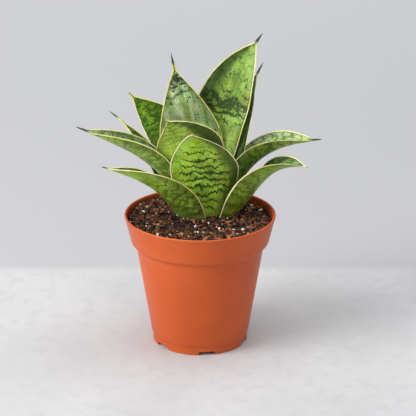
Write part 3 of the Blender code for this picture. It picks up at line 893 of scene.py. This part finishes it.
def make_pot():
    bm = bmesh.new()
    verts = [bm.verts.new((radius * MM, 0.0, height * MM)) for radius, height in pot_profile()]
    edges = [bm.edges.new(pair) for pair in zip(verts, verts[1:])]
    bmesh.ops.spin(
        bm, geom=verts + edges, cent=(0.0, 0.0, 0.0), axis=(0.0, 0.0, 1.0),
        angle=2.0 * math.pi, steps=POT_STEPS, use_merge=True,
    )
    bmesh.ops.remove_doubles(bm, verts=bm.verts, dist=0.000001)
    bmesh.ops.recalc_face_normals(bm, faces=bm.faces)
    piece = finish_mesh("pot_shell", bm, pot_material(), 50.0)
    cutters = [drain_cutter(Vector())]
    for i in range(DRAINS):
        azimuth = FIRST_DRAIN + i * 360.0 / DRAINS
        place = polar(FOOT_RADIUS - FOOT_RING_WIDTH / 2.0, azimuth)
        size = Vector((FOOT_RING_WIDTH + 4.0, NOTCH_WIDTH, 2.0 * NOTCH_HEIGHT))
        cutters.append(block_cutter(size, place, azimuth))
        cutters.append(drain_cutter(polar(DRAIN_CIRCLE, azimuth)))
    cut_out(piece, cutters)
    piece.data.set_sharp_from_angle(angle=math.radians(40))
    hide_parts("pot")
    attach(piece, "root")


def pot_material():
    """Satin moulded plastic: faintly cloudy, with fine draw lines around it and soil dust inside."""
    material, tree, shader = new_material("terracotta_plastic_satin", 0.42, 0.25)
    vector = object_vector(tree)
    clouds = stretched_noise(tree, vector, EVEN_GRAIN, 22.0, 3.0)
    grain = stretched_noise(tree, vector, EVEN_GRAIN, 900.0, 3.0)
    lines = stretched_noise(tree, vector, (0.05, 0.05, 1.0), 700.0, 2.0)
    x, y, height = split(tree, vector)
    colour = blend_colours(tree, remap(tree, clouds, 0.3, 0.7), (0.56, 0.090, 0.015), (0.64, 0.110, 0.021))
    colour = blend_colours(tree, remap(tree, grain, 0.3, 0.8, 0.0, 0.18), colour, (0.66, 0.16, 0.06))
    radius = calculate(tree, "SQRT", times_plus(tree, y, y, times(tree, x, x)))
    slope = (RIM_RADIUS - COLLAR_FOOT_RADIUS) / COLLAR_HEIGHT
    outer = times_plus(tree, height, slope, COLLAR_LINE_AT_FLOOR)
    inside = remap(tree, calculate(tree, "SUBTRACT", outer, radius), 0.0006, 0.0012)
    above = remap(tree, height, 0.0845, 0.0865)
    dust = stretched_noise(tree, vector, EVEN_GRAIN, 260.0, 4.0)
    level = remap(tree, height, 0.1000, 0.1062, 0.36, 0.62)
    soiled = remap(tree, dust, level, calculate(tree, "ADD", level, 0.12))
    soiled = times(tree, times(tree, inside, above), soiled)
    colour = blend_colours(tree, times(tree, soiled, 0.55), colour, (0.05, 0.028, 0.018))
    join(tree, colour, shader.inputs["Base Color"])
    join(tree, remap(tree, clouds, 0.3, 0.7, 0.38, 0.48), shader.inputs["Roughness"])
    add_bump(tree, shader, times_plus(tree, lines, 0.6, grain), 0.12, 0.0002)
    return material


# ---------------------------------------------------------------- soil


def soil_height(x, y):
    from_crown = math.hypot(x - CROWN.x, y - CROWN.y)
    heap = SOIL_MOUND * (1.0 - smooth_step(22.0, 46.0, from_crown))
    back_left = 2.2 * smooth_step(10.0, 50.0, -0.6 * x + 0.8 * y)
    lumps = 0.9 * noise.noise(Vector((x / 7.0, y / 7.0, 3.7)))
    crumbs = 0.8 * noise.noise(Vector((x / 2.4, y / 2.4, 9.1)))
    return SOIL_EDGE_HEIGHT + heap + back_left + lumps + crumbs


def soil_bed(material):
    """The body of the soil: a rolled grid from the middle of its underside to the middle on top."""
    side = [
        (0.0, FLOOR_TOP + 0.3),
        (BODY_FOOT_RADIUS - WALL - 2.4, FLOOR_TOP + 0.3),
        (wall_radius(FLOOR_TOP + 2.4) - WALL - 0.3, FLOOR_TOP + 2.4),
        (BODY_TOP_RADIUS - WALL - 0.3, POT_HEIGHT - COLLAR_HEIGHT - 3.0),
        (COLLAR_FOOT_RADIUS - WALL - 0.3, POT_HEIGHT - COLLAR_HEIGHT + 1.2),
    ]
    columns = 180
    rings = 64
    rows = len(side) + rings
    edge_radius = wall_radius(SOIL_EDGE_HEIGHT) - WALL - 0.4
    bm = bmesh.new()
    bmesh.ops.create_grid(bm, x_segments=columns, y_segments=rows, size=0.5)
    for vert in bm.verts:
        azimuth = 360.0 * (vert.co.x + 0.5)
        row = round((vert.co.y + 0.5) * rows)
        if row < len(side):
            vert.co = polar(side[row][0], azimuth, side[row][1]) * MM
            continue
        point = polar(edge_radius * (1.0 - (row - len(side)) / rings), azimuth)
        point.z = soil_height(point.x, point.y) - 1.0
        vert.co = point * MM
    bmesh.ops.remove_doubles(bm, verts=bm.verts, dist=0.000001)
    bmesh.ops.recalc_face_normals(bm, faces=bm.faces)
    piece = finish_mesh("soil_bed", bm, material, 80.0)
    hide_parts("soil")
    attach(piece, "root")


def scatter_spot(shuffle, reach):
    """A random spot on the soil, evenly spread over the disc inside the wall."""
    radius = reach * math.sqrt(shuffle.random())
    return polar(radius, shuffle.uniform(0.0, 360.0))


def gather(name, count, add_grain, material, seed, sharp):
    """Many loose grains as one piece, made in batches because a small mesh is quick to add to."""
    shuffle = random.Random(seed)
    whole = bmesh.new()
    whole.verts.layers.float.new("tone")
    for start in range(0, count, GRAIN_BATCH):
        batch = bmesh.new()
        tone = batch.verts.layers.float.new("tone")
        for _ in range(min(GRAIN_BATCH, count - start)):
            add_grain(batch, tone, shuffle)
        bmesh.ops.recalc_face_normals(batch, faces=batch.faces)
        mesh = bpy.data.meshes.new(name + "_batch")
        batch.to_mesh(mesh)
        batch.free()
        whole.from_mesh(mesh)
        bpy.data.meshes.remove(mesh)
    piece = finish_mesh(name, whole, material, sharp)
    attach(piece, "root")


def lying(shuffle, spot, lean):
    """A grain's place: turned any way round, and leaning a little at random."""
    turn = Matrix.Rotation(shuffle.uniform(0.0, 6.28), 4, "Z")
    tip = Matrix.Rotation(shuffle.gauss(0.0, lean), 4, "X")
    roll = Matrix.Rotation(shuffle.gauss(0.0, lean), 4, "Y")
    return Matrix.Translation(spot * MM) @ turn @ tip @ roll


def crumbs(name, count, size_range, subdivisions, sink, material, seed):
    """Loose crumbs on the soil: each a small rough ball, half sunk."""

    def add_crumb(bm, tone, shuffle):
        size = size_range[0] + (size_range[1] - size_range[0]) * shuffle.random() ** 2.2
        spot = scatter_spot(shuffle, wall_radius(SOIL_EDGE_HEIGHT) - WALL - size * 0.5 - 0.5)
        shape = [size / 2.0 * shuffle.uniform(0.8, 1.3) for _ in range(3)]
        spot.z = soil_height(spot.x, spot.y) - 0.6 + shape[2] * sink
        matrix = lying(shuffle, spot, 0.35)
        made = bmesh.ops.create_icosphere(bm, subdivisions=subdivisions, radius=1.0)
        shade = shuffle.random()
        offset = shuffle.uniform(0.0, 50.0)
        for vert in made["verts"]:
            rough = 1.0 + 0.45 * noise.noise(vert.co * 1.3 + Vector((offset, 0.0, 0.0)))
            vert.co = matrix @ Vector([part * length * rough * MM for part, length in zip(vert.co, shape)])
            vert[tone] = shade

    gather(name, count, add_crumb, material, seed, 50.0)


def blunt(value):
    """A ball's coordinate pushed outwards, which makes the ball blocky."""
    return math.copysign(abs(value) ** 0.6, value)


def bark_splinters(name, count, length_range, material, seed):
    """Splinters of bark: flat blocky balls drawn out long."""

    def add_splinter(bm, tone, shuffle):
        length = length_range[0] + (length_range[1] - length_range[0]) * shuffle.random() ** 1.8
        breadth = length * shuffle.uniform(0.22, 0.5)
        depth = breadth * shuffle.uniform(0.25, 0.6)
        spot = scatter_spot(shuffle, wall_radius(SOIL_EDGE_HEIGHT) - WALL - length * 0.5 - 0.5)
        spot.z = soil_height(spot.x, spot.y) - 0.4 + depth * shuffle.uniform(0.0, 0.9)
        matrix = lying(shuffle, spot, 0.22)
        made = bmesh.ops.create_uvsphere(bm, u_segments=6, v_segments=5, radius=1.0)
        shade = shuffle.random()
        offset = shuffle.uniform(0.0, 50.0)
        for vert in made["verts"]:
            rough = 0.5 + 0.22 * noise.noise(vert.co * 1.7 + Vector((offset, 0.0, 0.0)))
            long, wide, high = (blunt(part) for part in (vert.co.z, vert.co.x, vert.co.y))
            block = Vector((long * length, wide * breadth, high * depth))
            vert.co = matrix @ (block * rough * MM)
            vert[tone] = shade

    gather(name, count, add_splinter, material, seed, 45.0)


def grain_material(name, dark, light, roughness, fibre, bump):
    """Loose grains: each has its own tone between two colours, darker in its pores."""
    material, tree, shader = new_material(name, roughness, 0.25)
    tone = add_node(tree, "ShaderNodeAttribute", attribute_name="tone")
    vector = object_vector(tree)
    pores = stretched_noise(tree, vector, fibre, 900.0, 4.0)
    patches = stretched_noise(tree, vector, EVEN_GRAIN, 220.0, 2.0)
    mixed = calculate(tree, "SUBTRACT", tone.outputs["Fac"], 0.25)
    mixed = times_plus(tree, patches, 0.5, mixed)
    colour = blend_colours(tree, remap(tree, mixed, 0.0, 1.0), dark, light)
    in_pores = tuple(0.3 * part for part in dark)
    colour = blend_colours(tree, remap(tree, pores, 0.55, 0.30, 0.0, 0.65), colour, in_pores)
    join(tree, colour, shader.inputs["Base Color"])
    join(tree, remap(tree, pores, 0.3, 0.7, roughness + 0.08, roughness - 0.12), shader.inputs["Roughness"])
    add_bump(tree, shader, pores, bump, 0.0004)
    return material


def peat():
    return grain_material("peat", (0.008, 0.005, 0.004), (0.040, 0.022, 0.013), 0.85, EVEN_GRAIN, 0.8)


def soil_crumb():
    return grain_material("soil_crumb", (0.009, 0.005, 0.003), (0.130, 0.058, 0.028), 0.80, EVEN_GRAIN, 0.7)


def bark():
    return grain_material("bark", (0.070, 0.024, 0.009), (0.500, 0.205, 0.092), 0.72, (0.5, 0.5, 2.0), 0.7)


def perlite():
    return grain_material("perlite", (0.75, 0.71, 0.64), (0.95, 0.94, 0.90), 0.75, EVEN_GRAIN, 0.5)


def make_soil():
    soil_bed(peat())
    crumb = soil_crumb()
    crumbs("soil_crumbs_fine", FINE_CRUMBS, (1.0, 2.4), 1, 0.2, crumb, 11)
    crumbs("soil_crumbs_coarse", COARSE_CRUMBS, (2.0, 4.2), 2, 0.0, crumb, 12)
    bark_splinters("bark_splinters", BARK_SPLINTERS, (1.8, 6.5), bark(), 13)
    crumbs("perlite_grains", PERLITE_GRAINS, (0.9, 2.3), 2, 0.5, perlite(), 14)


def rhizome_skin():
    return grain_material(
        "rhizome_skin", (0.20, 0.10, 0.04), (0.42, 0.25, 0.11), 0.75, (1.0, 1.0, 6.0), 0.5,
    )


def root_skin():
    return grain_material("root_skin", (0.38, 0.22, 0.09), (0.60, 0.38, 0.18), 0.7, (1.0, 1.0, 0.2), 0.4)


def make_hidden_parts(frame):
    """The rhizome and roots keep their shapes and get their skins."""
    rhizome = rhizome_skin()
    root = root_skin()
    for name, node in frame["nodes"].items():
        if name == "rhizome" or name.startswith("root_"):
            node.data.materials.clear()
            node.data.materials.append(rhizome if name == "rhizome" else root)


# ---------------------------------------------------------------- stage, lights and camera


def floor_material():
    """Matt, faintly clouded and speckled nearby, and a plain ground further off that is painted paler with
    distance, as painted light.
    """
    material, tree, shader = new_material("floor_matt", 0.7, 0.3)
    vector = object_vector(tree)
    depth = split(tree, vector)["Y"]
    clouds = remap(tree, stretched_noise(tree, vector, EVEN_GRAIN, 7.0, 5.0), 0.3, 0.7)
    specks = stretched_noise(tree, vector, EVEN_GRAIN, 90.0, 3.0)
    specks = remap(tree, specks, 0.45, 0.70, 0.0, 0.35)
    near = blend_colours(tree, clouds, (0.48, 0.48, 0.49), (0.56, 0.56, 0.57))
    near = blend_colours(tree, specks, near, (0.44, 0.44, 0.45))
    # Painted light: the far ground gets paler with distance, up to 3.5 m, to make up for the lamps' light
    # falling off there.
    painted_light_with_distance = remap(tree, depth, 0.2, 3.5)
    ground = blend_colours(tree, painted_light_with_distance, (0.45, 0.45, 0.465), (0.94, 0.94, 0.955))
    far = remap(tree, depth, FLOOR_NEAR_END, FLOOR_FAR_START)
    join(tree, blend_colours(tree, far, near, ground), shader.inputs["Base Color"])
    return material


def make_floor():
    """A pale matt top that ends behind the pot, where a plain ground goes on and is painted paler further
    off, as painted light.
    """
    bm = bmesh.new()
    bmesh.ops.create_grid(bm, x_segments=2, y_segments=2, size=FLOOR_HALF_SIZE)
    finish_mesh("floor", bm, floor_material())


def area_light(name, place, size, power, colour):
    light = bpy.data.lights.new(name, "AREA")
    light.shape = "DISK"
    light.size = size
    light.energy = power
    light.color = colour
    lamp = bpy.data.objects.new(name, light)
    lamp.location = place
    lamp.rotation_euler = (LIGHT_TARGET - Vector(place)).to_track_quat("-Z", "Y").to_euler()
    bpy.context.scene.collection.objects.link(lamp)


def make_room():
    """Soft light from all round, weak from below and from the horizon, and strong overhead."""
    world = bpy.data.worlds.new("soft_room")
    world.use_nodes = True
    tree = world.node_tree
    background = tree.nodes["Background"]
    background.inputs["Color"].default_value = (*ROOM_COLOUR, 1.0)
    height = split(tree, tree.nodes.new("ShaderNodeTexCoord").outputs["Generated"])["Z"]
    strength = remap(tree, height, -0.1, 0.8, ROOM_LOW_STRENGTH, ROOM_HIGH_STRENGTH)
    join(tree, strength, background.inputs["Strength"])
    bpy.context.scene.world = world


def make_lights():
    for name, light in LIGHTS.items():
        area_light(name, **light)
    make_room()


def make_camera():
    """The view from the front, looking a little down on the plant."""
    data = bpy.data.cameras.new("camera")
    data.lens = CAMERA_LENS
    data.sensor_width = 36.0
    data.shift_x = CAMERA_SHIFT
    camera = bpy.data.objects.new("camera", data)
    elevation = math.radians(CAMERA_ELEVATION)
    back = Vector((0.0, -math.cos(elevation), math.sin(elevation)))
    camera.location = CAMERA_TARGET + back * CAMERA_DISTANCE
    camera.rotation_euler = (math.pi / 2.0 - elevation, 0.0, 0.0)
    bpy.context.scene.collection.objects.link(camera)
    bpy.context.scene.camera = camera


bpy.context.scene.view_settings.view_transform = "Standard"
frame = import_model()
make_camera()
make_lights()
make_floor()
make_pot()
make_soil()
make_hidden_parts(frame)
make_leaves()
